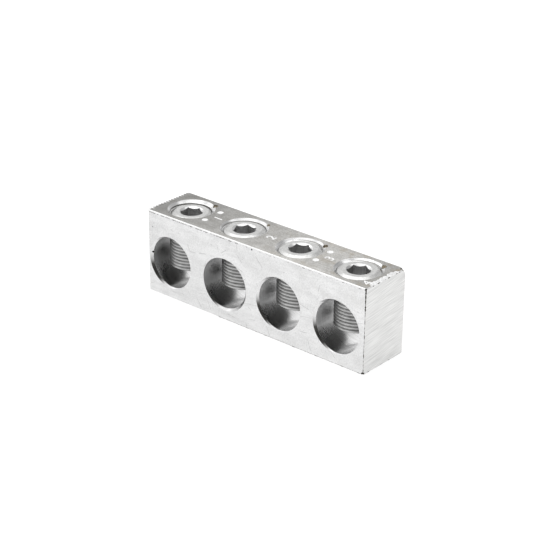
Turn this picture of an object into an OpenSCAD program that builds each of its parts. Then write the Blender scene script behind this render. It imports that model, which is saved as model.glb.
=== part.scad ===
// Earth terminal bar: an extruded bar, sawn to length, with four wire ports bored through its
// depth and one hex socket set screw let into the top over each port.
// Millimetres. X runs along the bar, the front port mouths face -Y, +Z is up.

/* [Bar] */
// metal left between neighbouring ports
port_gap = 8.68; // [4:0.02:30]
// metal left outside the end ports
end_wall = 2.48; // [2.4:0.02:12]
// how far the row of ports stands off the middle of the bar
row_shift = -0.2; // [-0.3:0.05:0.3]
// metal under the ports
port_floor = 5.9; // [4:0.1:14]
// metal over the ports, the length of thread that carries each screw
port_roof = 11.1; // [9:0.1:18]
// metal between a screw's countersink and the front or back face
face_wall = 2.75; // [1.5:0.05:10]
// rounding of the four long edges
edge_radius = 0.6; // [0.2:0.1:1.4]

/* [Ports] */
// room beside the screw on each side of the port
side_room = 1.68; // [1:0.02:4]
// chamfer left at the port mouths by deburring
deburr = 0.77; // [0.2:0.01:1]
// deburring at the back mouths
back_deburr = 0.5; // [0.2:0.05:1]

/* [Set screws] */
// diameter over the thread
screw_d = 20.64; // [18:0.01:24]
// pitch of the thread
thread_pitch = 1.5875; // [1:0.0125:2]
// length
screw_length = 27; // [20:0.1:29]
// play of the thread, on the radius
thread_play = 0.1; // [0.05:0.01:0.3]
// countersink at the top of each tapped hole, on the radius
countersink = 0.73; // [0.3:0.01:1.5]
// chamfer at both ends of a screw, on the radius
end_chamfer = 2.4; // [1:0.1:3]
// height of that chamfer
chamfer_height = 1.3; // [0.5:0.1:2]
// hex socket across flats
hex_flats = 9.525; // [6:0.005:10]
// depth of the flats
hex_depth = 10; // [6:0.5:13]
// lead-in around the socket's corners, on the radius
lead_in = 0.25; // [0.1:0.05:0.6]
// how far the screws stand below the top face
screw_sink = 0.15; // [0:0.05:2]

/* [Hidden] */
port_count = 4;
port_d = screw_d + 2 * side_room;
port_pitch = port_d + port_gap;
port_z = port_floor + port_d / 2;
tapped_r = screw_d / 2 + thread_play;
sink_r = tapped_r + countersink;

bar_length = port_count * port_d + (port_count - 1) * port_gap + 2 * end_wall;
bar_depth = 2 * (sink_r + face_wall);
bar_height = port_floor + port_d + port_roof;

// centre of each front mouth's chamfer off its port, along the bar and upwards
mouth_shift = [[-0.95, -0.1], [0.36, -0.43], [-0.84, 0.18], [-0.89, 0.11]];
// how much further each screw is turned in, and the turn of its socket
turned_in = [1, 0.25, 0, 0];
socket_turn = [31, 54.5, 27.5, 34];

// teeth of 60 degrees, cut to five eighths of their sharp height
flank_angle = 30;
thread_depth = 5 / 8 * cos(flank_angle) * thread_pitch;
groove_half = thread_depth * tan(flank_angle);

hex_corners = hex_flats / cos(30);
past = 1;
round_faces = 96;

function port_x(i) = row_shift + (i - (port_count - 1) / 2) * port_pitch;

// waste outside one rounded long edge
module edge_waste(side, level) {
    r = edge_radius;
    translate([0, side * (bar_depth / 2 - r), level == 1 ? bar_height - r : r])
        difference() {
            translate([-bar_length / 2 - past, side > 0 ? 0 : -r - past, level == 1 ? 0 : -r - past])
                cube([bar_length + 2 * past, r + past, r + past]);
            rotate([0, 90, 0])
                cylinder(r = r, h = bar_length + 4 * past, center = true, $fn = round_faces);
        }
}

// cone cut at a port mouth, wide end on the face y = 0, running in along +Y
module mouth_cone(size, off) {
    depth = size + norm(off) + 0.3;
    wide = port_d / 2 + size;
    translate([off[0], 0, off[1]])
        rotate([-90, 0, 0])
            translate([0, 0, -past])
                cylinder(r1 = wide + past, r2 = wide - depth, h = depth + past, $fn = round_faces);
}

module port_cut(i) {
    translate([port_x(i), 0, port_z]) {
        rotate([90, 0, 0])
            cylinder(d = port_d, h = bar_depth + 2 * past, center = true, $fn = round_faces);
        translate([0, -bar_depth / 2, 0])
            mouth_cone(deburr, mouth_shift[i]);
        translate([0, bar_depth / 2, 0])
            rotate([0, 0, 180])
                mouth_cone(back_deburr, [0, 0]);
    }
}

module tapped_cut(i) {
    translate([port_x(i), 0, 0]) {
        translate([0, 0, port_z])
            cylinder(r = tapped_r, h = bar_height - port_z + past, $fn = round_faces);
        translate([0, 0, bar_height - countersink])
            cylinder(r1 = tapped_r, r2 = sink_r + past, h = countersink + past, $fn = round_faces);
    }
}

module bar() {
    color([0.81, 0.81, 0.80])
        difference() {
            translate([-bar_length / 2, -bar_depth / 2, 0])
                cube([bar_length, bar_depth, bar_height]);
            for (side = [-1, 1], level = [0, 1])
                edge_waste(side, level);
            for (i = [0 : port_count - 1]) {
                port_cut(i);
                tapped_cut(i);
            }
        }
}

// set screw with its top face at z = 0, its thread drawn as closed rings
module set_screw(turn) {
    r = screw_d / 2;
    flat = r - end_chamfer;
    shoulder = chamfer_height;
    rings = floor((screw_length - 2 * shoulder) / thread_pitch);
    first = ((rings - 1) * thread_pitch - screw_length) / 2;
    groove = [[r, groove_half], [r - thread_depth, 0], [r, -groove_half]];
    difference() {
        rotate_extrude($fn = round_faces)
            polygon([[0, 0], [flat, 0], [r, -shoulder],
                     for (k = [0 : rings - 1], p = groove) p + [0, first - k * thread_pitch],
                     [r, shoulder - screw_length], [flat, -screw_length], [0, -screw_length]]);
        rotate([0, 0, turn])
            translate([0, 0, -hex_depth])
                cylinder(d = hex_corners, h = hex_depth + past, $fn = 6);
        translate([0, 0, -hex_depth - hex_flats / 4])
            cylinder(r1 = 0, r2 = hex_flats / 2, h = hex_flats / 4, $fn = round_faces);
        translate([0, 0, -hex_corners / 2])
            cylinder(r1 = lead_in, r2 = hex_corners / 2 + lead_in + past,
                     h = hex_corners / 2 + past, $fn = round_faces);
    }
}

module placed_screw(i) {
    color([0.76, 0.76, 0.75])
        translate([port_x(i), 0, bar_height - screw_sink - turned_in[i]])
            set_screw(socket_turn[i]);
}

module set_screw_1() { placed_screw(0); }
module set_screw_2() { placed_screw(1); }
module set_screw_3() { placed_screw(2); }
module set_screw_4() { placed_screw(3); }

bar();
set_screw_1();
set_screw_2();
set_screw_3();
set_screw_4();
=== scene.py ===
import math

import bmesh
import bpy
from mathutils import Matrix, Vector, noise


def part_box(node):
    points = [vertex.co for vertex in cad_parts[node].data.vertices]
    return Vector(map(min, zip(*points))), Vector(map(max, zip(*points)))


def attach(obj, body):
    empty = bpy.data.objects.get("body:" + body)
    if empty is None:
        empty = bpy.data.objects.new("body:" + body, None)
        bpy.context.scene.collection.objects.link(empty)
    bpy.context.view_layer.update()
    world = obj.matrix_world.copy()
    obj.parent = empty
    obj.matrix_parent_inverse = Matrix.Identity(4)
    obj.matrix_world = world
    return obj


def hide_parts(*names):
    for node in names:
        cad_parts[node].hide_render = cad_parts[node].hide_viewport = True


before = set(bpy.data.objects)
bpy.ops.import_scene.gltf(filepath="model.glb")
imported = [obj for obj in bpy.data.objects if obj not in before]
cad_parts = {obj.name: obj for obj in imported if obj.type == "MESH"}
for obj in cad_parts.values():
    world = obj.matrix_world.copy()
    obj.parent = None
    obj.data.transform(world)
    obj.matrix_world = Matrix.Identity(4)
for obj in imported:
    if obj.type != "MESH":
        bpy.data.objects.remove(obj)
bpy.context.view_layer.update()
mm = 0.001
print("frame loaded with", len(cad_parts), "nodes")

scene = bpy.context.scene
scene.view_settings.view_transform = "Standard"

barLow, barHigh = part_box("bar")
barTop = barHigh.z
barFront = barLow.y
screwCount = 4
screwBoxes = [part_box(f"set_screw_{n}") for n in range(1, screwCount + 1)]
screwX = [(low.x + high.x) / 2 for low, high in screwBoxes]
screwTop = [high.z for low, high in screwBoxes]

straight = 0.9  # from this share on, a face or an edge points along an axis
slanted = 0.01  # past this share, a face leans both ways
tidyGap = 0.0005  # mm, points closer than this are one
sweepGap = 0.001  # mm, the same along a swept thread
white = (1.0, 1.0, 1.0, 1.0)


def clearSelection():
    bpy.ops.object.select_all(action="DESELECT")


def only(obj):
    if bpy.context.object and bpy.context.object.mode != "OBJECT":
        bpy.ops.object.mode_set(mode="OBJECT")
    clearSelection()
    obj.select_set(True)
    bpy.context.view_layer.objects.active = obj


def pick(obj, kind, test):
    # selects faces or edges by place or direction, and stays in edit mode
    only(obj)
    bpy.ops.object.mode_set(mode="EDIT")
    bpy.ops.mesh.select_mode(type=kind)
    bpy.ops.mesh.select_all(action="DESELECT")
    mesh = bmesh.from_edit_mesh(obj.data)
    for item in mesh.faces if kind == "FACE" else mesh.edges:
        item.select_set(test(item))
    mesh.select_flush_mode()
    bmesh.update_edit_mesh(obj.data)


def edgeWay(edge):
    return (edge.verts[0].co - edge.verts[1].co).normalized()


def newPiece(name):
    piece = bpy.context.object
    piece.name = name
    piece.data.name = name
    return piece


def settle(obj):
    # the object goes to the origin, and its place into its mesh
    only(obj)
    bpy.ops.object.transform_apply(location=True, rotation=True, scale=True)


def copyTo(obj, name, x, z, turn):
    twin = obj.copy()
    twin.data = obj.data.copy()
    twin.name = twin.data.name = name
    bpy.context.collection.objects.link(twin)
    twin.location = (x, 0, z)
    twin.rotation_euler = (0, 0, math.radians(turn))
    settle(twin)
    return twin


def finishModifier(obj, kind, **settings):
    only(obj)
    mod = obj.modifiers.new("step", kind)
    for key, value in settings.items():
        setattr(mod, key, value)
    bpy.ops.object.modifier_apply(modifier=mod.name)


def discard(obj):
    mesh = obj.data
    bpy.data.objects.remove(obj)
    bpy.data.meshes.remove(mesh)


def cut(obj, tool, operation="DIFFERENCE"):
    # new faces keep the tool's own finish
    finishModifier(obj, "BOOLEAN", operation=operation, solver="MANIFOLD", object=tool,
                   material_mode="TRANSFER")
    discard(tool)


def thicken(tool, push, finish):
    # a sheet is pushed out to a closed block
    pick(tool, "FACE", lambda f: True)
    bpy.ops.mesh.extrude_region_move(TRANSFORM_OT_translate={"value": push})
    bpy.ops.mesh.select_all(action="SELECT")
    bpy.ops.mesh.normals_make_consistent(inside=False)
    bpy.ops.object.mode_set(mode="OBJECT")
    tool.data.materials.append(finish)
    return tool


def tidyMesh(obj, smoothAngle):
    only(obj)
    bpy.ops.object.mode_set(mode="EDIT")
    bpy.ops.mesh.select_all(action="SELECT")
    bpy.ops.mesh.remove_doubles(threshold=tidyGap * mm)
    bpy.ops.mesh.dissolve_degenerate(threshold=tidyGap * mm)
    bpy.ops.mesh.normals_make_consistent(inside=False)
    bpy.ops.object.mode_set(mode="OBJECT")
    bpy.ops.object.shade_smooth_by_angle(angle=math.radians(smoothAngle))


def roundTool(name, bottomRadius, topRadius, depth, place, turn, finish, sides=160):
    clearSelection()
    bpy.ops.mesh.primitive_cone_add(vertices=sides, radius1=bottomRadius * mm, radius2=topRadius * mm,
                                    depth=depth * mm, location=place, rotation=turn)
    tool = newPiece(name)
    settle(tool)
    tool.data.materials.append(finish)
    return tool


def colour(hexText):
    parts = [int(hexText[i:i + 2], 16) / 255 for i in (1, 3, 5)]
    return tuple(p / 12.92 if p <= 0.04045 else ((p + 0.055) / 1.055) ** 2.4 for p in parts) + (1.0,)


def addNode(tree, kind, inputs=None, stops=None, **settings):
    node = tree.nodes.new("ShaderNode" + kind)
    for key, value in settings.items():
        setattr(node, key, value)
    for socket, value in (inputs or {}).items():
        if isinstance(value, bpy.types.NodeSocket):
            tree.links.new(value, node.inputs[socket])
        else:
            node.inputs[socket].default_value = value
    if stops:
        ramp = node.color_ramp.elements
        ramp[0].position, ramp[0].color = stops[0]
        ramp[-1].position, ramp[-1].color = stops[-1]
    return node


def newMaterial(name):
    mat = bpy.data.materials.new(name)
    mat.use_nodes = True
    mat.node_tree.nodes.clear()
    return mat, mat.node_tree


# Extruded aluminium under dull tin plate: soft die lines run along the bar, with dull clouds, a fine
# grain, dark specks, short handling scratches and, on the top, warm stains towards the right end.
# Scratches are drawn wide enough to show. Lengths are in mm, and speck sizes in shares of a cell.
# the top is painted darker than the sides, and darker still towards both ends, as shade
topPlateShaded = {
    "light": "#d5d4d1", "dark": "#b1afab", "stain": "#98896f", "stainShare": 0.5,
    "leftTone": 0.5, "rightTone": 0.72, "frontTone": 1.16,
    "streakLength": 26, "streakWidth": 0.45, "streakDepth": 0.006,
    "cloudSize": 4, "fleckSize": 0.6, "fleckShare": 0.45,
    "speckCell": 2.2, "speckSize": (0.10, 0.05), "speckShare": 0.4,
    "hairCell": 6.0, "hairLength": 3.0, "hairWidth": 0.09, "hairShare": 0.25,
    "facing": (0, 0, 1), "acrossAxis": 1, "roughness": (0.28, 0.40), "longScratch": None,
}
sidePlate = {
    "light": "#ebebeb", "dark": "#d8d8d8", "stain": "#cfcecb", "stainShare": 0.25,
    "leftTone": 0.96, "rightTone": 1.0, "frontTone": 1.0,
    "streakLength": 14, "streakWidth": 2.2, "streakDepth": 0.002,
    "cloudSize": 6, "fleckSize": 0.6, "fleckShare": 0.5,
    "speckCell": 2.4, "speckSize": (0.11, 0.07), "speckShare": 0.85,
    "hairCell": 6.0, "hairLength": 3.5, "hairWidth": 0.13, "hairShare": 0.45,
    "facing": (0, 1, 0), "acrossAxis": 2, "roughness": (0.33, 0.42),
    "longScratch": {"height": 12.75, "rise": 0.14, "halfWidth": 0.15, "share": 0.22},
}
# wear and painted shade that both plates share: where it starts and ends along the bar or across it, in mm, and
# how much of each noise it takes
plateWearAndShade = {
    "leftEnd": (-60, 22), "rightEnd": (36, 60), "frontLighter": (-13.5, -9), "stainRun": (-10, 50),
    "bodyRange": (0.40, 0.60), "roughRange": (0.38, 0.62),
    "stainRange": (0.5, 0.7), "stainScale": 0.8, "stainLeast": 0.1,
    "speckCore": 0.55, "hairCore": 0.3, "hairOdds": 0.5, "scratchRange": (0.42, 0.55), "scratch": "#4c4b49",
}


def tinnedPlate(name, look):
    mat, tree = newMaterial(name)
    wearAndShade = plateWearAndShade
    leftEnd, rightEnd, frontLighter, stainRun = (
        [edge * mm for edge in wearAndShade[key]] for key in ("leftEnd", "rightEnd", "frontLighter", "stainRun"))
    spot = addNode(tree, "TexCoord").outputs["Object"]
    axes = addNode(tree, "SeparateXYZ", {0: spot})
    along = addNode(tree, "Mapping", {"Vector": spot, "Scale": (
        1 / (look["streakLength"] * mm), 1 / (look["streakWidth"] * mm), 1 / (look["streakWidth"] * mm))})
    streak = addNode(tree, "TexNoise", {"Vector": along.outputs[0], "Scale": 1.0, "Detail": 3.0})
    cloud = addNode(tree, "TexNoise", {"Vector": spot, "Scale": 1 / (look["cloudSize"] * mm), "Detail": 5.0})
    fleck = addNode(tree, "TexNoise", {"Vector": spot, "Scale": 1 / (look["fleckSize"] * mm), "Detail": 2.0})
    both = addNode(tree, "Math", {0: streak.outputs[0], 1: cloud.outputs[0]}, operation="ADD")
    half = addNode(tree, "Math", {0: both.outputs[0], 1: 0.5}, operation="MULTIPLY")
    grained = addNode(tree, "Mix", {0: look["fleckShare"], 2: half.outputs[0], 3: fleck.outputs[0]})
    body = addNode(tree, "ValToRGB", {0: grained.outputs[0]},
                   list(zip(wearAndShade["bodyRange"], (colour(look["dark"]), colour(look["light"])))))
    # painted shade: the plate is darker towards both ends; it is lighter along the front, and stains gather at
    # the right
    shadeLeft = addNode(tree, "MapRange", {0: axes.outputs[0], 1: leftEnd[0], 2: leftEnd[1],
                                          3: look["leftTone"], 4: 1.0})
    shadeRight = addNode(tree, "MapRange", {0: axes.outputs[0], 1: rightEnd[0], 2: rightEnd[1],
                                           3: 1.0, 4: look["rightTone"]})
    lighterFront = addNode(tree, "MapRange", {0: axes.outputs[1], 1: frontLighter[0], 2: frontLighter[1],
                                        3: look["frontTone"], 4: 1.0})
    shadeTone = addNode(tree, "Math", {0: shadeLeft.outputs[0], 1: shadeRight.outputs[0]}, operation="MULTIPLY")
    shadeTone = addNode(tree, "Math", {0: shadeTone.outputs[0], 1: lighterFront.outputs[0]}, operation="MULTIPLY")
    toned = addNode(tree, "HueSaturation", {"Color": body.outputs[0], "Value": shadeTone.outputs[0]})
    patch = addNode(tree, "TexNoise", {"Vector": spot, "Scale": wearAndShade["stainScale"] / (look["cloudSize"] * mm),
                                       "Detail": 3.0})
    patchMask = addNode(tree, "MapRange", {0: patch.outputs[0], 1: wearAndShade["stainRange"][0],
                                           2: wearAndShade["stainRange"][1], 3: 0.0, 4: look["stainShare"]})
    rightward = addNode(tree, "MapRange", {0: axes.outputs[0], 1: stainRun[0], 2: stainRun[1],
                                           3: wearAndShade["stainLeast"], 4: 1.0})
    stainMask = addNode(tree, "Math", {0: patchMask.outputs[0], 1: rightward.outputs[0]}, operation="MULTIPLY")
    stained = addNode(tree, "Mix", {0: stainMask.outputs[0], 6: toned.outputs[0], 7: colour(look["stain"])},
                      data_type="RGBA")
    # specks of uneven size
    speck = addNode(tree, "TexVoronoi", {"Vector": spot, "Scale": 1 / (look["speckCell"] * mm)})
    chance = addNode(tree, "SeparateXYZ", {0: speck.outputs["Color"]})
    reach = addNode(tree, "Math", {0: chance.outputs[0], 1: look["speckSize"][0], 2: look["speckSize"][1]},
                    operation="MULTIPLY_ADD")
    nearness = addNode(tree, "Math", {0: speck.outputs["Distance"], 1: reach.outputs[0]}, operation="DIVIDE")
    strength = addNode(tree, "Math", {0: chance.outputs[1], 1: look["speckShare"]}, operation="MULTIPLY")
    speckMask = addNode(tree, "MapRange", {0: nearness.outputs[0], 1: wearAndShade["speckCore"], 2: 1.0,
                                           3: strength.outputs[0], 4: 0.0})
    # scratches: in some cells one short hairline, each turned its own way
    cell = addNode(tree, "TexVoronoi", {"Vector": spot, "Scale": 1 / (look["hairCell"] * mm)})
    luck = addNode(tree, "SeparateXYZ", {0: cell.outputs["Color"]})
    offset = addNode(tree, "VectorMath", {0: spot, 1: cell.outputs["Position"]}, operation="SUBTRACT")
    lean = addNode(tree, "Math", {0: luck.outputs[0], 1: math.pi}, operation="MULTIPLY")
    turned = addNode(tree, "VectorRotate", {"Vector": offset.outputs[0], "Axis": look["facing"],
                                            "Angle": lean.outputs[0]}, rotation_type="AXIS_ANGLE")
    apart = addNode(tree, "SeparateXYZ", {0: turned.outputs[0]})
    longWay = addNode(tree, "Math", {0: apart.outputs[0]}, operation="ABSOLUTE")
    wideWay = addNode(tree, "Math", {0: apart.outputs[look["acrossAxis"]]}, operation="ABSOLUTE")
    hairEnd = addNode(tree, "Math", {0: luck.outputs[1], 1: look["hairLength"] * mm}, operation="MULTIPLY")
    lengthMask = addNode(tree, "Math", {0: hairEnd.outputs[0], 1: longWay.outputs[0]}, operation="GREATER_THAN")
    widthMask = addNode(tree, "MapRange", {0: wideWay.outputs[0], 1: wearAndShade["hairCore"] * look["hairWidth"] * mm,
                                           2: look["hairWidth"] * mm, 3: look["hairShare"], 4: 0.0})
    hair = addNode(tree, "Math", {0: lengthMask.outputs[0], 1: widthMask.outputs[0]}, operation="MULTIPLY")
    some = addNode(tree, "Math", {0: luck.outputs[2], 1: wearAndShade["hairOdds"]}, operation="GREATER_THAN")
    hairMask = addNode(tree, "Math", {0: hair.outputs[0], 1: some.outputs[0]}, operation="MULTIPLY")
    marked = addNode(tree, "Math", {0: speckMask.outputs[0], 1: hairMask.outputs[0]}, operation="MAXIMUM")
    if look["longScratch"]:
        # one long broken scratch, rising along the bar
        drawn = look["longScratch"]
        tilted = addNode(tree, "Math", {0: axes.outputs[0], 1: -drawn["rise"], 2: axes.outputs[2]},
                         operation="MULTIPLY_ADD")
        onLine = addNode(tree, "Math", {0: tilted.outputs[0], 1: drawn["height"] * mm,
                                        2: drawn["halfWidth"] * mm}, operation="COMPARE")
        faint = addNode(tree, "MapRange", {0: streak.outputs[0], 1: wearAndShade["scratchRange"][0],
                                           2: wearAndShade["scratchRange"][1], 3: 0.0, 4: drawn["share"]})
        groove = addNode(tree, "Math", {0: onLine.outputs[0], 1: faint.outputs[0]}, operation="MULTIPLY")
        marked = addNode(tree, "Math", {0: marked.outputs[0], 1: groove.outputs[0]}, operation="MAXIMUM")
    tint = addNode(tree, "Mix", {0: marked.outputs[0], 6: stained.outputs[2], 7: colour(wearAndShade["scratch"])},
                   data_type="RGBA")
    rough = addNode(tree, "MapRange", {0: grained.outputs[0], 1: wearAndShade["roughRange"][0], 2: wearAndShade["roughRange"][1],
                                       3: look["roughness"][1], 4: look["roughness"][0]})
    bump = addNode(tree, "Bump", {"Height": streak.outputs[0], "Strength": 0.5,
                                  "Distance": look["streakDepth"] * mm})
    shader = addNode(tree, "BsdfPrincipled", {
        "Base Color": tint.outputs[2], "Roughness": rough.outputs[0], "Normal": bump.outputs[0],
        "Metallic": 1.0})
    addNode(tree, "OutputMaterial", {"Surface": shader.outputs[0]})
    return mat


grainRange = (0.35, 0.65)  # the share of the noise that goes from dark to light


# Tool-cut aluminium, tinned: fine lines left by the tool, cleaner and glossier than the plate. The
# grain is the size of those lines along x, y and z in mm, and turn is their lean.
def tooledMetal(name, look):
    mat, tree = newMaterial(name)
    spot = addNode(tree, "TexCoord").outputs["Object"]
    lines = addNode(tree, "Mapping", {"Vector": spot, "Rotation": look.get("turn", (0, 0, 0)),
                                      "Scale": tuple(size * mm for size in look["grain"])},
                    vector_type="TEXTURE")
    grain = addNode(tree, "TexNoise", {"Vector": lines.outputs[0], "Scale": 1.0, "Detail": 3.0})
    body = addNode(tree, "ValToRGB", {0: grain.outputs[0]},
                   list(zip(grainRange, (colour(look["dark"]), colour(look["light"])))))
    rough = addNode(tree, "MapRange", {0: grain.outputs[0], 1: grainRange[0], 2: grainRange[1],
                                       3: look["roughness"][1], 4: look["roughness"][0]})
    tint = body.outputs[0]
    if "shadeAbove" in look:
        # painted shade: darker further up, where the metal is also rougher
        shadeBand = look["shadeAbove"]
        axes = addNode(tree, "SeparateXYZ", {0: spot})
        height = addNode(tree, "MapRange", {0: axes.outputs[2], 1: shadeBand["from"] * mm, 2: shadeBand["to"] * mm})
        shadeTone = addNode(tree, "MapRange", {0: height.outputs[0], 3: 1.0, 4: shadeBand["tone"]})
        tint = addNode(tree, "HueSaturation", {"Color": tint, "Value": shadeTone.outputs[0]}).outputs[0]
        rough = addNode(tree, "Math", {0: height.outputs[0], 1: shadeBand["roughness"], 2: rough.outputs[0]},
                        operation="MULTIPLY_ADD")
    if "paintedReflection" in look:
        # a painted dark reflection on the side that faces one way
        paintedReflection = look["paintedReflection"]
        normal = addNode(tree, "NewGeometry").outputs["True Normal"]
        side = addNode(tree, "VectorMath", {0: normal, 1: paintedReflection["way"]}, operation="DOT_PRODUCT")
        nearness = addNode(tree, "MapRange", {0: side.outputs["Value"], 1: paintedReflection["from"], 2: paintedReflection["full"]})
        share = addNode(tree, "Math", {0: nearness.outputs[0], 1: paintedReflection["fade"]}, operation="POWER")
        tint = addNode(tree, "Mix", {0: share.outputs[0], 6: tint, 7: colour(paintedReflection["tint"])},
                       data_type="RGBA").outputs[2]
    bump = addNode(tree, "Bump", {"Height": grain.outputs[0], "Strength": 0.5, "Distance": look["depth"] * mm})
    shader = addNode(tree, "BsdfPrincipled", {
        "Base Color": tint, "Roughness": rough.outputs[0], "Normal": bump.outputs[0],
        "Metallic": look.get("metallic", 1.0)})
    addNode(tree, "OutputMaterial", {"Surface": shader.outputs[0]})
    return mat


tinnedTopShaded = tinnedPlate("tinned_aluminium_extruded_top_painted_shade", topPlateShaded)
tinnedSide = tinnedPlate("tinned_aluminium_extruded_side", sidePlate)
# long edges, rubbed bright by handling and painted white as a highlight: a white line along the top
rubbedEdgeHighlight = tooledMetal("tinned_aluminium_rubbed_edge_painted_highlight", {
    "light": "#fbfbfb", "dark": "#efefef", "grain": (6, 0.5, 0.5), "depth": 0.002, "roughness": (0.2, 0.3)})
# sawn: fine lines that lean with the blade, satin
sawnEnd = tooledMetal("tinned_aluminium_sawn", {
    "light": "#e8e8e7", "dark": "#cfcfce", "grain": (4, 12, 0.36), "turn": (0.11, 0, 0), "depth": 0.0015,
    "roughness": (0.34, 0.42)})
# bored: a bright mirror with faint rings below, painted darker further up as shade, and rougher there
boredWall = tooledMetal("tinned_aluminium_bored", {
    "light": "#fdfdfd", "dark": "#f0f0f0", "grain": (14, 0.8, 14), "depth": 0.003, "roughness": (0.18, 0.26),
    "shadeAbove": {"from": 8, "to": 15, "tone": 0.62, "roughness": 0.12}})
# countersunk: bright, with the cutter's rings
cutRim = tooledMetal("tinned_aluminium_countersunk", {
    "light": "#f2f2f2", "dark": "#c4c4c4", "grain": (8, 8, 0.22), "depth": 0.002, "roughness": (0.24, 0.32)})
# deburred by hand: a bright bevel with a painted dark reflection on its lower left
deburredRim = tooledMetal("tinned_aluminium_deburred", {
    "light": "#eaeaea", "dark": "#dcdcdc", "grain": (2.5, 2.5, 2.5), "depth": 0.001, "roughness": (0.26, 0.34),
    "paintedReflection": {"way": (0.57, -0.70, 0.43), "from": 0.8, "full": 0.975, "fade": 2.5, "tint": "#4e4d4b"}})
# tapped: crests that glint, over grooves painted greyer as shade
tappedWall = tooledMetal("tinned_aluminium_tapped", {
    "light": "#dededd", "dark": "#c8c8c7", "grain": (3, 3, 0.6), "depth": 0.001, "roughness": (0.24, 0.32)})
tappedGrooveShaded = tooledMetal("tinned_aluminium_tapped_groove_painted_shade", {
    "light": "#aeadab", "dark": "#989795", "grain": (3, 3, 0.6), "depth": 0.001, "roughness": (0.3, 0.4)})
# stamped: bruised metal, matt and nearly white
stampedMark = tooledMetal("tinned_aluminium_stamped", {
    "light": "#ffffff", "dark": "#f4f4f4", "grain": (0.6, 0.6, 0.6), "depth": 0.01, "roughness": (0.5, 0.62),
    "metallic": 0.4})
# scraped: matt and white, with small dents
wornEdge = tooledMetal("tinned_aluminium_worn_edge", {
    "light": "#ffffff", "dark": "#dcdcdc", "grain": (0.9, 0.9, 0.9), "depth": 0.02, "roughness": (0.4, 0.55),
    "metallic": 0.6})
# turned: clean and evenly grey
turnedScrew = tooledMetal("tinned_aluminium_turned_screw", {
    "light": "#dadad9", "dark": "#c4c4c3", "grain": (1.2, 1.2, 1.2), "depth": 0.001, "roughness": (0.26, 0.36)})
# rolled thread: satin crests, over roots painted darker as shade and as dirt
threadCrest = tooledMetal("tinned_aluminium_rolled_thread", {
    "light": "#d4d4d4", "dark": "#c0c0c0", "grain": (3, 3, 1.5), "depth": 0.001, "roughness": (0.36, 0.44)})
threadRootShaded = tooledMetal("tinned_aluminium_thread_root_painted_shade", {
    "light": "#b0b0af", "dark": "#989897", "grain": (3, 3, 1.5), "depth": 0.001, "roughness": (0.42, 0.5)})
# broached: fine upright lines, satin
broachedSocket = tooledMetal("tinned_aluminium_broached", {
    "light": "#dedede", "dark": "#c6c6c6", "grain": (0.6, 0.6, 8), "depth": 0.004, "roughness": (0.3, 0.42)})
# tip: painted dark as the shade under the screw
shadedTip = tooledMetal("tinned_aluminium_tip_painted_shade", {
    "light": "#565655", "dark": "#424241", "grain": (1.5, 1.5, 1.5), "depth": 0.003, "roughness": (0.3, 0.45)})
# notch: browned by cutting oil
brownedNotch = tooledMetal("tinned_aluminium_browned_notch", {
    "light": "#9b917f", "dark": "#443e34", "grain": (0.7, 0.7, 0.7), "depth": 0.02, "roughness": (0.4, 0.55)})
# burr: torn metal, painted dark as its shadow and as dirt
shadedTornBurr = tooledMetal("tinned_aluminium_torn_burr_painted_shade", {
    "light": "#4b4840", "dark": "#201e1a", "grain": (0.5, 0.5, 0.5), "depth": 0.03, "roughness": (0.4, 0.6)})
print("materials ready")

# set screw with a 13/16-16 right-hand thread: 60 degree teeth with flat crests and roots
screwSizes = {
    "pitch": 1.5875, "major": 10.32, "threadDepth": 0.859, "crestFlat": 0.198, "flank": 0.496,
    "play": 0.1, "steps": 96,
    "length": 27.0, "flatRadius": 7.92, "chamfer": 1.3, "spare": 0.3, "blankSides": 192,
    "hexCorner": 5.499, "hexDepth": 10.0, "hexAbove": 1.0, "hexTurn": 30, "floorCone": 2.38,
    "leadIn": 5.75, "leadSlope": 41.0, "leadBelow": 1.4, "leadAbove": 0.6,
    "turns": (31.0, 54.5, 27.5, 34.0), "smoothAngle": 28,
}
runOut = 2 * screwSizes["pitch"]
threadStart = -(screwSizes["length"] + runOut)


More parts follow.
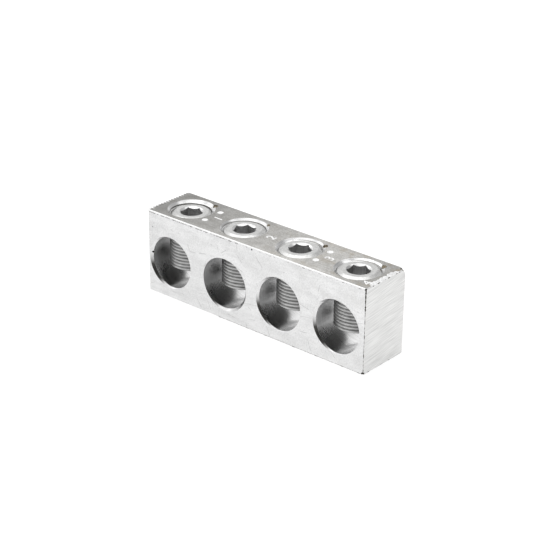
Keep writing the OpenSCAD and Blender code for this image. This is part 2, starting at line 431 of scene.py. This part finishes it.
def threadedRod(name, grow, firstTurn, turns, finish):
    # one tooth, drawn point by point from a merged plane, swept up the rod, both ends closed to a point
    pitch = screwSizes["pitch"] * mm
    root = (screwSizes["major"] - screwSizes["threadDepth"] + grow) * mm
    bottom = (threadStart + firstTurn * screwSizes["pitch"]) * mm
    rootFlat = screwSizes["pitch"] - screwSizes["crestFlat"] - 2 * screwSizes["flank"]
    clearSelection()
    bpy.ops.mesh.primitive_plane_add(size=mm, location=(root, 0, bottom))
    rod = newPiece(name)
    settle(rod)
    bpy.ops.object.mode_set(mode="EDIT")
    bpy.ops.mesh.select_mode(type="VERT")
    bpy.ops.mesh.select_all(action="SELECT")
    bpy.ops.mesh.merge(type="CENTER")
    rise, climb = screwSizes["threadDepth"] / 2, screwSizes["flank"] / 2
    for out, up in ((rise, climb), (rise, climb), (0, screwSizes["crestFlat"]),
                    (-rise, climb), (-rise, climb), (0, rootFlat)):
        bpy.ops.mesh.extrude_region_move(TRANSFORM_OT_translate={"value": (out * mm, 0, up * mm)})
    bpy.ops.object.mode_set(mode="OBJECT")
    finishModifier(rod, "SCREW", axis="Z", angle=2 * math.pi, screw_offset=pitch, iterations=turns,
                   steps=screwSizes["steps"], render_steps=screwSizes["steps"], use_merge_vertices=True,
                   merge_threshold=sweepGap * mm)
    bpy.ops.object.mode_set(mode="EDIT")
    bpy.ops.mesh.select_all(action="SELECT")
    bpy.ops.mesh.remove_doubles(threshold=sweepGap * mm)
    middle = bottom + turns * pitch / 2
    pointLength = 2 * pitch
    for side in (-1, 1):
        pick(rod, "EDGE", lambda e: e.is_boundary and (e.verts[0].co.z - middle) * side > 0)
        bpy.ops.mesh.extrude_edges_move(TRANSFORM_OT_translate={"value": (0, 0, side * pointLength)})
        bpy.ops.mesh.merge(type="CENTER")
    bpy.ops.mesh.select_all(action="SELECT")
    bpy.ops.mesh.normals_make_consistent(inside=False)
    bpy.ops.object.mode_set(mode="OBJECT")
    rod.data.materials.clear()
    for each in finish:
        rod.data.materials.append(each)
    deep = root + rise * mm
    for face in rod.data.polygons:
        face.material_index = len(finish) - 1 if face.center.xy.length < deep else 0
    return rod


# the set screw is modelled once with its top at zero, then copied to the four ports
def setScrewModel():
    length, flatRadius = screwSizes["length"], screwSizes["flatRadius"]
    turns = math.ceil((length + 2 * runOut) / screwSizes["pitch"])
    screw = threadedRod("setScrew", 0, 0, turns, (threadCrest, threadRootShaded))
    blankRadius = screwSizes["major"] + screwSizes["spare"]
    coneRise = (blankRadius - flatRadius) * screwSizes["chamfer"] / (screwSizes["major"] - flatRadius)
    blank = roundTool("screwBlank", blankRadius, blankRadius, length - 2 * coneRise,
                      (0, 0, -length / 2 * mm), (0, 0, 0), turnedScrew, screwSizes["blankSides"])
    shrink = flatRadius / blankRadius
    for side in (1, -1):
        pick(blank, "FACE", lambda f: f.normal.z * side > straight)
        bpy.ops.mesh.extrude_region_move(TRANSFORM_OT_translate={"value": (0, 0, side * coneRise * mm)})
        bpy.ops.transform.resize(value=(shrink, shrink, 1))
    bpy.ops.object.mode_set(mode="OBJECT")
    cut(screw, blank, "INTERSECT")
    hexDepth, hexAbove = screwSizes["hexDepth"], screwSizes["hexAbove"]
    clearSelection()
    bpy.ops.mesh.primitive_cylinder_add(vertices=6, radius=screwSizes["hexCorner"] * mm,
                                        depth=(hexDepth + hexAbove) * mm,
                                        location=(0, 0, (hexAbove - hexDepth) / 2 * mm),
                                        rotation=(0, 0, math.radians(screwSizes["hexTurn"])))
    key = newPiece("socketTool")
    settle(key)
    key.data.materials.append(broachedSocket)
    pick(key, "FACE", lambda f: f.normal.z < -straight)
    bpy.ops.mesh.extrude_region_move(TRANSFORM_OT_translate={"value": (0, 0, -screwSizes["floorCone"] * mm)})
    bpy.ops.mesh.merge(type="CENTER")
    bpy.ops.object.mode_set(mode="OBJECT")
    cut(screw, key)
    lead, steep = screwSizes["leadIn"], math.tan(math.radians(screwSizes["leadSlope"]))
    below, above = screwSizes["leadBelow"], screwSizes["leadAbove"]
    cut(screw, roundTool("leadInTool", lead - below, lead + above, (below + above) * steep,
                         (0, 0, (above - below) / 2 * steep * mm), (0, 0, 0), cutRim))
    # the tip that clamps the conductor is painted dark as shade, with its chamfer
    turned = screw.data.materials.find(turnedScrew.name)
    screw.data.materials.append(shadedTip)
    for face in screw.data.polygons:
        if face.material_index == turned and face.center.z < -length / 2 * mm:
            face.material_index = len(screw.data.materials) - 1
    tidyMesh(screw, screwSizes["smoothAngle"])
    return screw


master = setScrewModel()
print("set screw modelled:", len(master.data.polygons), "faces")

# bar: extruded block, sawn ends, four through ports, four tapped and countersunk holes, in mm
barSizes = {
    "edgeRadius": 0.5, "edgeSteps": 5, "sawnOff": 2.0, "smoothAngle": 28,
    "portZ": 17.9, "portRadius": 12.3, "portShift": -0.3, "drillLength": 34,
    "mouthRadius": 12.77, "mouthShift": ((-0.95, -0.1), (0.36, -0.43), (-0.84, 0.18), (-0.89, 0.11)),
    "backDeburr": 0.5, "countersink": 11.15, "tapFrom": 22.0,
    "coneInside": 2, "coneOutside": 1,  # reach of the 45 degree cutters into the metal and out of it
    # the left end is torn in teeth along its top edge, the right end has the blade's fine ripple
    "sawLeft": {"pitch": 1.7, "depth": 1.4, "uneven": 0.9, "fade": 4.0, "fadePower": 1.5, "stand": 0.7,
                "across": 260, "down": 90, "wander": 0.3, "wanderScale": (0.3, 0.1, 3), "wanderFrom": 3,
                "toothSlope": 2, "toothGap": 0.5},
    "sawRight": {"pitch": 0.9, "depth": 0.005, "uneven": 0.4, "lean": 0.12, "stand": 0.0,
                 "across": 16, "down": 232, "wander": 0.5, "wanderScale": (0.08, 0.2, 7)},
    "sawBlock": {"spare": 2.0, "push": 4, "bite": 0.8, "biteScale": (0.4, 0.15, 11)},
    # torn edges: ends of each ridge, its thickness, the share that shows, its thinnest share and its seed
    "burrs": (
        ((63.42, -13.84, 31.0), (63.42, -13.84, 40.7), 0.24, 0.45, 0.5, 3),
        ((63.44, -13.86, 1.0), (63.44, -13.86, 32.0), 0.13, 0.25, 0.45, 5),
        ((63.42, -13.3, 40.64), (63.42, 12.0, 40.64), 0.17, 0.1, 0.2, 8),
        ((-63.0, -13.86, 40.2), (-8.0, -13.86, 40.2), 0.17, 0.2, 0.08, 21),
        ((-8.0, -13.86, 40.2), (62.8, -13.86, 40.2), 0.14, -0.05, 0.08, 34),
        ((-20.0, -13.8, 0.24), (62.6, -13.8, 0.24), 0.13, 0.1, 0.5, 13),
        ((63.42, -12.8, 0.24), (63.42, 13.4, 0.24), 0.13, 0.0, 0.5, 17)),
    "burrWave": {"sides": 8, "rings": 100, "coarse": 0.55, "fine": 1.7, "fineShare": 0.5, "fineSeed": 5,
                 "grit": 2.3, "gritShare": 0.35, "base": 0.2, "gain": 1.6, "most": 1.3},
    # chips: place and radius
    "chips": (
        ((63.5, -13.9, 0.3), 1.0), ((63.5, -13.95, 40.7), 0.7), ((-61.85, -13.0, 19.8), 0.55),
        ((-0.1, -13.95, 39.9), 0.42), ((62.3, 12.2, 41.15), 0.5), ((-61.0, -13.95, 33.0), 0.25),
        ((-63.5, -13.95, 37.2), 0.35), ((-63.5, -13.95, 25.5), 0.3), ((-63.5, -13.95, 3.5), 0.4)),
    # notches where each tap ran in
    "notches": (((-43.2, 9.6, 41.5), 1.6), ((-10.6, 9.3, 41.6), 1.25),
                ((23.1, 8.8, 41.5), 1.6), ((55.3, 8.7, 41.5), 1.6)),
    "chipShape": {"levels": 3, "rough": 0.25, "grain": 1.7},
    # plain port numbers beside the holes, with place and height, and round punch marks
    "numbers": (("1", -32.4, 0.0, 4.6), ("2", -0.4, 0.0, 4.6), ("3", 33.0, 0.0, 4.6), ("4", 60.2, -8.6, 4.6)),
    "numberDepth": 0.2, "numberSwell": 0.15, "numberSmooth": 30,
    "figureShare": 0.72,  # the height of the font's figures in its size
    "punches": ((-36.3, 5.6), (-36.1, -5.2), (28.8, 5.3), (29.2, -5.2)),
    "punchRadius": 1.45, "punchDepth": 0.2, "punchFaces": (64, 48),
    # the right end's top back corner, worn round by a ball that meets its three edges without a step
    "corner": {"reach": 4.0, "faces": (96, 64)},
    # the top's right edge, rubbed to a narrow uneven slope between two places
    "edgeRub": {"width": 2.2, "uneven": 1.6, "waves": 0.6, "seed": 4, "drop": 0.3, "steps": 120,
                "from": -10.5, "to": 9.5, "fade": 1.5, "least": 0.3, "past": 1, "spare": 4, "lift": 2},
}
quarter = math.radians(90)


def ripple(y, z, scale):
    return noise.noise((y / mm * scale[0], z / mm * scale[1], scale[2]))


def sawTool(name, side, saw):
    # a fine grid waved like the blade's path, pushed out to a block that trims the bar's end
    block = barSizes["sawBlock"]
    clearSelection()
    bpy.ops.mesh.primitive_grid_add(x_subdivisions=saw["across"], y_subdivisions=saw["down"], size=1)
    tool = newPiece(name)
    depth = barHigh.y - barLow.y + 2 * block["spare"] * mm
    height = barTop - barLow.z + 2 * block["spare"] * mm
    endX = barHigh.x if side > 0 else barLow.x
    for v in tool.data.vertices:
        y = (barLow.y + barHigh.y) / 2 + v.co.x * depth
        z = (barLow.z + barTop) / 2 + v.co.y * height
        stray = ripple(y, z, saw["wanderScale"])
        if side < 0:
            # torn outwards along the top edge, in teeth that fade down the face
            torn = max(0.0, 1 - (barTop - z) / mm / saw["fade"]) ** saw["fadePower"]
            run = (barHigh.y - y) / mm
            step = run / saw["pitch"] + saw["wander"] * min(1.0, run / saw["wanderFrom"]) * stray
            tooth = 1 - abs(2 * (step % 1.0) - 1)
            bite = min(1.0, max(0.0, saw["toothSlope"] * tooth - saw["toothGap"])) * torn
        else:
            step = (z / mm - saw["lean"] * y / mm) / saw["pitch"] + saw["wander"] * stray
            bite = 0.5 + 0.5 * math.sin(2 * math.pi * step)
            torn = 0.0
        bite *= saw["depth"] * (block["bite"] + saw["uneven"] * ripple(y, z, block["biteScale"]))
        v.co = (endX + side * (saw["stand"] * torn - bite) * mm, y, z)
    return thicken(tool, (side * block["push"] * mm, 0, 0), sawnEnd)


def burrRidge(name, start, end, radius, show, least, seed):
    # a thin rod along the edge whose rings swell and shrink, so that it breaks the edge in torn bits
    shape = barSizes["burrWave"]
    start, end = Vector(start) * mm, Vector(end) * mm
    span = end - start
    way = span.normalized()
    clearSelection()
    bpy.ops.mesh.primitive_cylinder_add(vertices=shape["sides"], radius=radius * mm, depth=span.length,
                                        location=(start + end) / 2,
                                        rotation=span.to_track_quat("Z", "Y").to_euler())
    ridge = newPiece(name)
    settle(ridge)
    pick(ridge, "EDGE", lambda e: abs(edgeWay(e).dot(way)) > straight)
    bpy.ops.mesh.subdivide(number_cuts=shape["rings"])
    bpy.ops.object.mode_set(mode="OBJECT")
    for v in ridge.data.vertices:
        along = (v.co - start).dot(way)
        axis = start + way * along
        coarse = noise.noise((along / mm * shape["coarse"], seed, 0))
        fine = noise.noise((along / mm * shape["fine"], seed, shape["fineSeed"]))
        wave = coarse + shape["fineShare"] * fine + show
        grit = noise.noise((v.co / mm * shape["grit"]) + Vector((seed, 0, 0)))
        swell = shape["base"] + shape["gain"] * wave + shape["gritShare"] * grit
        v.co = axis + (v.co - axis) * max(least, min(shape["most"], swell))
    ridge.data.materials.append(shadedTornBurr)
    return ridge


def cornerTool():
    reach = barSizes["corner"]["reach"] * mm
    segments, rings = barSizes["corner"]["faces"]
    clearSelection()
    bpy.ops.mesh.primitive_cube_add(size=2 * reach, location=barHigh)
    tool = newPiece("cornerTool")
    settle(tool)
    clearSelection()
    bpy.ops.mesh.primitive_uv_sphere_add(segments=segments, ring_count=rings, radius=reach * math.sqrt(2),
                                         location=barHigh - Vector((reach, reach, reach)))
    ball = newPiece("cornerBall")
    settle(ball)
    for each in (tool, ball):
        each.data.materials.append(tinnedTopShaded)
    cut(tool, ball)
    return tool


def edgeRubTool():
    rub = barSizes["edgeRub"]
    clearSelection()
    bpy.ops.mesh.primitive_grid_add(x_subdivisions=2, y_subdivisions=rub["steps"], size=1)
    tool = newPiece("edgeRubTool")
    depth = barHigh.y - barLow.y + rub["spare"] * mm
    for v in tool.data.vertices:
        y = v.co.y * depth
        inner = rub["width"] + rub["uneven"] * noise.noise((y / mm * rub["waves"], rub["seed"], 0))
        inside = min(y / mm - rub["from"], rub["to"] - y / mm)
        inner = max(rub["least"], inner * min(1.0, inside / rub["fade"]))
        x = -inner + (v.co.x + 0.5) * (inner + rub["past"])
        v.co = (barHigh.x + x * mm, y, barTop - rub["drop"] * (1 + x / inner) * mm)
    return thicken(tool, (0, 0, rub["lift"] * mm), wornEdge)


def stampNumber(text, x, y, size):
    # reads along the bar's depth
    clearSelection()
    bpy.ops.object.text_add()
    word = bpy.context.object
    word.data.body = text
    word.data.size = size * mm / barSizes["figureShare"]
    word.data.extrude = barSizes["numberDepth"] * mm
    word.data.offset = barSizes["numberSwell"] * mm
    word.data.align_x = "CENTER"
    word.data.align_y = "CENTER"
    bpy.ops.object.convert(target="MESH")
    tool = newPiece("numberTool")
    tool.location = (x * mm, y * mm, barTop)
    tool.rotation_euler = (0, 0, quarter)
    settle(tool)
    tidyMesh(tool, barSizes["numberSmooth"])
    tool.data.materials.clear()
    tool.data.materials.append(stampedMark)
    return tool


def punchTool(x, y):
    # a ball that dips into the top by the punch's depth
    depth = barSizes["punchDepth"]
    reach = (barSizes["punchRadius"] ** 2 + depth ** 2) / (2 * depth)
    segments, rings = barSizes["punchFaces"]
    clearSelection()
    bpy.ops.mesh.primitive_uv_sphere_add(segments=segments, ring_count=rings, radius=reach * mm,
                                         location=(x * mm, y * mm, barTop + (reach - depth) * mm))
    punch = newPiece("punchTool")
    settle(punch)
    punch.data.materials.append(stampedMark)
    return punch


def chipTool(place, radius, finish):
    shape = barSizes["chipShape"]
    clearSelection()
    bpy.ops.mesh.primitive_ico_sphere_add(subdivisions=shape["levels"], radius=radius * mm,
                                          location=Vector(place) * mm)
    chip = newPiece("chipTool")
    settle(chip)
    for v in chip.data.vertices:
        v.co += shape["rough"] * radius * mm * Vector(noise.noise_vector(v.co / mm * shape["grain"] / radius))
    chip.data.materials.append(finish)
    return chip


def barBlock():
    # the extruded length, with rounded long edges: plain sides, a stained top painted darker as shade, and top
    # edges painted bright as a highlight
    clearSelection()
    bpy.ops.mesh.primitive_cube_add(size=1, location=(barLow + barHigh) / 2)
    bar = newPiece("barBody")
    size = barHigh - barLow
    bar.scale = (size.x + barSizes["sawnOff"] * mm, size.y, size.z)
    settle(bar)
    for finish in (tinnedSide, tinnedTopShaded, rubbedEdgeHighlight):
        bar.data.materials.append(finish)
    pick(bar, "EDGE", lambda e: abs(edgeWay(e).x) > straight)
    bpy.ops.mesh.bevel(offset=barSizes["edgeRadius"] * mm, offset_type="OFFSET",
                       segments=barSizes["edgeSteps"], affect="EDGES")
    bpy.ops.object.mode_set(mode="OBJECT")
    # the slanted edge faces take the white edge finish, a painted highlight
    for face in bar.data.polygons:
        slant = abs(face.normal.y * face.normal.z) > slanted and face.normal.z > 0
        face.material_index = 2 if slant else 1 if face.normal.z > straight else 0
    return bar


def barModel():
    bar = barBlock()
    cut(bar, sawTool("sawLeftTool", -1, barSizes["sawLeft"]))
    cut(bar, sawTool("sawRightTool", 1, barSizes["sawRight"]))
    print("ends sawn")
    portZ, portRadius = barSizes["portZ"] * mm, barSizes["portRadius"]
    inside, outside = barSizes["coneInside"], barSizes["coneOutside"]
    coneDepth = inside + outside
    coneMiddle = (inside - outside) / 2 * mm
    for n in range(screwCount):
        # drilled a little wide, and to the left of the screw
        x = screwX[n] + barSizes["portShift"] * mm
        cut(bar, roundTool("portTool", portRadius, portRadius, barSizes["drillLength"],
                           (x, 0, portZ), (quarter, 0, 0), boredWall))
        # each mouth was deburred by hand, off the bore's axis
        dx, dz = barSizes["mouthShift"][n]
        rim = barSizes["mouthRadius"]
        cut(bar, roundTool("mouthTool", rim - inside, rim + outside, coneDepth,
                           (screwX[n] + dx * mm, barFront + coneMiddle, portZ + dz * mm),
                           (quarter, 0, 0), deburredRim))
        back = portRadius + barSizes["backDeburr"]
        cut(bar, roundTool("backMouthTool", back + outside, back - inside, coneDepth,
                           (x, barHigh.y - coneMiddle, portZ), (quarter, 0, 0), deburredRim))
    print("ports bored")
    pitch = screwSizes["pitch"]
    for n in range(screwCount):
        # the hole's thread follows the screw's
        first = math.ceil((barSizes["tapFrom"] - screwTop[n] / mm - threadStart) / pitch)
        turns = math.ceil((barTop - screwTop[n]) / mm / pitch - threadStart / pitch - first) + 1
        tap = threadedRod("tapTool", screwSizes["play"], first, turns, (tappedGrooveShaded, tappedWall))
        tap.location = (screwX[n], 0, screwTop[n])
        tap.rotation_euler = (0, 0, math.radians(screwSizes["turns"][n]))
        settle(tap)
        cut(bar, tap)
        sink = barSizes["countersink"]
        cut(bar, roundTool("sinkTool", sink - inside, sink + outside, coneDepth,
                           (screwX[n], 0, barTop - coneMiddle), (0, 0, 0), cutRim))
    print("holes tapped")
    for x, y in barSizes["punches"]:
        cut(bar, punchTool(x, y))
    for text, x, y, size in barSizes["numbers"]:
        cut(bar, stampNumber(text, x, y, size))
    # the chips take the burr's finish, painted dark as shade
    for places, finish in ((barSizes["chips"], shadedTornBurr), (barSizes["notches"], brownedNotch)):
        for place, radius in places:
            cut(bar, chipTool(place, radius, finish))
    cut(bar, edgeRubTool())
    cut(bar, cornerTool())
    for start, end, radius, show, least, seed in barSizes["burrs"]:
        cut(bar, burrRidge("burrTool", start, end, radius, show, least, seed), "UNION")
    print("edges chipped and marks stamped")
    tidyMesh(bar, barSizes["smoothAngle"])
    return bar


barBody = barModel()
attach(barBody, "bar")
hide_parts("bar")
print("bar modelled:", len(barBody.data.polygons), "faces")

for n in range(screwCount):
    screw = copyTo(master, f"setScrew{n + 1}", screwX[n], screwTop[n], screwSizes["turns"][n])
    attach(screw, f"screw_{n + 1}")
    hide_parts(f"set_screw_{n + 1}")
discard(master)
print("screws placed")

# plain white floor, wide enough to fill the view
floorLook = {"size": 6.0, "shade": "#9c9c9c", "lift": 0.79}


def whiteFloor():
    clearSelection()
    bpy.ops.mesh.primitive_plane_add(size=floorLook["size"], location=(0, 0, barLow.z))
    floor = newPiece("studioFloor")
    mat, tree = newMaterial("matt_white_paper")
    path = addNode(tree, "LightPath")
    seen = addNode(tree, "Math", {0: path.outputs["Is Camera Ray"], 1: path.outputs["Is Glossy Ray"]},
                   operation="MAXIMUM")
    seen = addNode(tree, "Math", {0: seen.outputs[0], 1: path.outputs["Is Transmission Ray"]},
                   operation="MAXIMUM")
    lift = addNode(tree, "Math", {0: seen.outputs[0], 1: floorLook["lift"]}, operation="MULTIPLY")
    shader = addNode(tree, "BsdfPrincipled", {
        "Base Color": colour(floorLook["shade"]), "Roughness": 0.9, "Specular IOR Level": 0.0,
        "Emission Color": white, "Emission Strength": lift.outputs[0]})
    addNode(tree, "OutputMaterial", {"Surface": shader.outputs[0]})
    floor.data.materials.append(mat)


whiteFloor()

# studio light: a white sweep low down all round, walls that go from grey on the right to white on the
# left, a dim doorway at the front right and soft boxes overhead: name, place, size and power
lights = {
    "brightSide": (-0.9, -0.1, 0.42), "grey": 0.43, "bright": 0.95, "greyAt": -0.25, "brightAt": 0.62,
    "sweepFull": 0.12, "sweepEnd": 0.36, "sweepLevel": 0.95,
    "doorway": (0.58, -0.69, 0.43), "doorFrom": 0.9, "doorTo": 0.98, "doorShade": 0.7,
    "boxes": (("overheadBox", (-0.1, -0.05, 0.95), 1.1, 3.4), ("leftBox", (-0.95, -0.2, 0.75), 0.55, 0.7),
              ("rightBox", (0.6, 0.3, 0.85), 0.45, 0.6)),
    "aim": (0, 0, 0.02),
}


def studioLight():
    world = bpy.data.worlds.new("greyStudio")
    scene.world = world
    world.use_nodes = True
    tree = world.node_tree
    tree.nodes.clear()
    way = addNode(tree, "TexCoord").outputs["Generated"]
    facing = addNode(tree, "VectorMath", {0: way, 1: lights["brightSide"]}, operation="DOT_PRODUCT")
    shade = addNode(tree, "MapRange", {0: facing.outputs["Value"], 1: lights["greyAt"], 2: lights["brightAt"],
                                       3: lights["grey"], 4: lights["bright"]})
    height = addNode(tree, "SeparateXYZ", {0: way})
    sweep = addNode(tree, "MapRange", {0: height.outputs[2], 1: lights["sweepFull"], 2: lights["sweepEnd"],
                                       3: lights["sweepLevel"], 4: 0.0})
    shade = addNode(tree, "Math", {0: shade.outputs[0], 1: sweep.outputs[0]}, operation="MAXIMUM")
    doorward = addNode(tree, "VectorMath", {0: way, 1: lights["doorway"]}, operation="DOT_PRODUCT")
    opening = addNode(tree, "MapRange", {0: doorward.outputs["Value"], 1: lights["doorFrom"],
                                         2: lights["doorTo"], 3: 1.0, 4: lights["doorShade"]})
    wall = addNode(tree, "Math", {0: shade.outputs[0], 1: opening.outputs[0]}, operation="MULTIPLY")
    back = addNode(tree, "Background", {"Color": white, "Strength": wall.outputs[0]})
    addNode(tree, "OutputWorld", {"Surface": back.outputs[0]})
    for name, place, size, power in lights["boxes"]:
        lamp = bpy.data.lights.new(name, "AREA")
        lamp.shape = "SQUARE"
        lamp.size = size
        lamp.energy = power
        box = bpy.data.objects.new(name, lamp)
        box.location = place
        box.rotation_euler = (Vector(place) - Vector(lights["aim"])).to_track_quat("Z", "Y").to_euler()
        bpy.context.collection.objects.link(box)


studioLight()

# the photograph's view, worked out from the bar's corners
shot = {"focal": 1673.6, "pixels": 556, "azimuth": 40.02, "elevation": 25.46, "roll": 0.77,
        "slide": (0.067, 0.014), "distance": 18.42, "sensor": 36.0, "clip": (0.01, 20)}


def photoCamera():
    az, el, roll = (math.radians(shot[k]) for k in ("azimuth", "elevation", "roll"))
    height = barTop - barLow.z
    middle = (barLow + barHigh) / 2
    back = Vector((math.sin(az) * math.cos(el), -math.cos(az) * math.cos(el), math.sin(el)))
    right = Vector((math.cos(az), math.sin(az), 0))
    up = back.cross(right)
    rightTurned = math.cos(roll) * right + math.sin(roll) * up
    upTurned = -math.sin(roll) * right + math.cos(roll) * up
    slideRight, slideUp = shot["slide"]
    place = middle + height * (slideRight * rightTurned + slideUp * upTurned + shot["distance"] * back)
    lens = bpy.data.cameras.new("photoCamera")
    lens.sensor_width = shot["sensor"]
    lens.lens = shot["focal"] * shot["sensor"] / shot["pixels"]
    lens.clip_start, lens.clip_end = shot["clip"]
    camera = bpy.data.objects.new("photoCamera", lens)
    axes = Matrix((rightTurned, upTurned, back)).transposed().to_4x4()
    camera.matrix_world = Matrix.Translation(place) @ axes
    bpy.context.collection.objects.link(camera)
    scene.camera = camera


photoCamera()
print("floor, light and camera ready")
